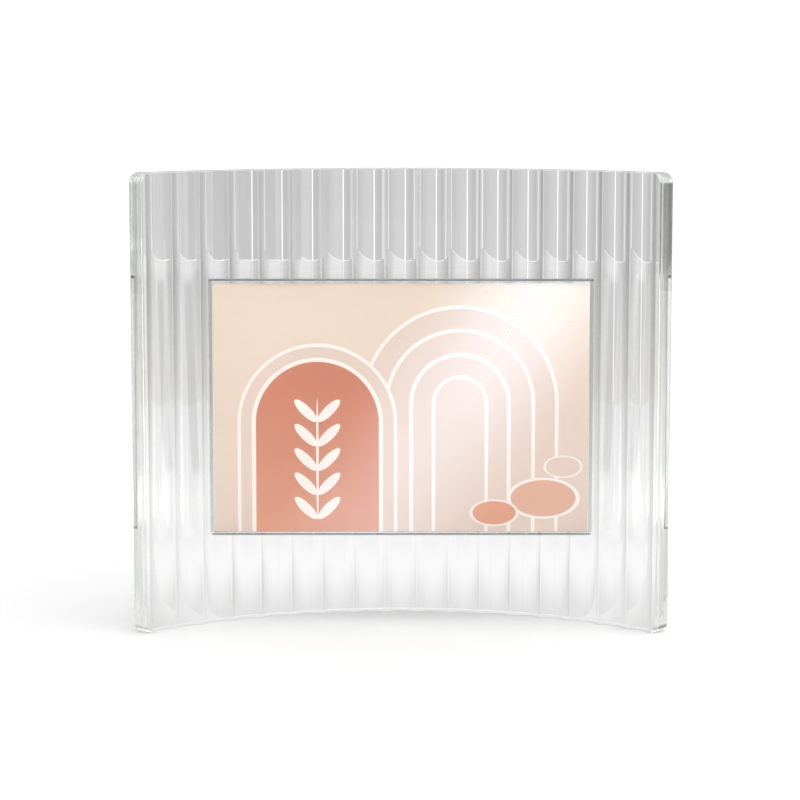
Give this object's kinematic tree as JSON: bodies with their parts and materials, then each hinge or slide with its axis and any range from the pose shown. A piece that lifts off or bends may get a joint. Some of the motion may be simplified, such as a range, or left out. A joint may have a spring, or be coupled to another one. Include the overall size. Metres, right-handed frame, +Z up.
{
  "type": "photo frame",
  "caption": "Free-standing clear photo frame: a tall wall, curved in plan and fluted on its hollow side, carries a flat clear pocket that a landscape print slides into from above.",
  "frame": {"origin": "middle of the overall box, on the table that the frame stands on", "axes": "+X along the width, to the viewer's right; +Y away from the viewer, towards the plain rounded back; +Z up"},
  "size_m": [0.2158, 0.0514, 0.1855],
  "materials": {
    "clear_acrylic": "clear, moulded and polished",
    "clear_adhesive": "clear, cured in place",
    "photo_paper": "satin photo print"
  },
  "bodies": {
    "stand": {"fluted_wall": "clear_acrylic", "pocket_back_sheet": "clear_acrylic", "pocket_front_sheet": "clear_acrylic", "left_spacer_strip": "clear_acrylic", "right_spacer_strip": "clear_acrylic", "bottom_spacer_strip": "clear_acrylic", "left_bond_bead": "clear_adhesive", "right_bond_bead": "clear_adhesive"},
    "print": {"photo_print": "photo_paper"}
  },
  "joints": [
    {"name": "print_slide", "type": "slide", "parent": "stand", "child": "print", "axis": [0, 0, 1], "range_m": [0, 0.105]}
  ]
}
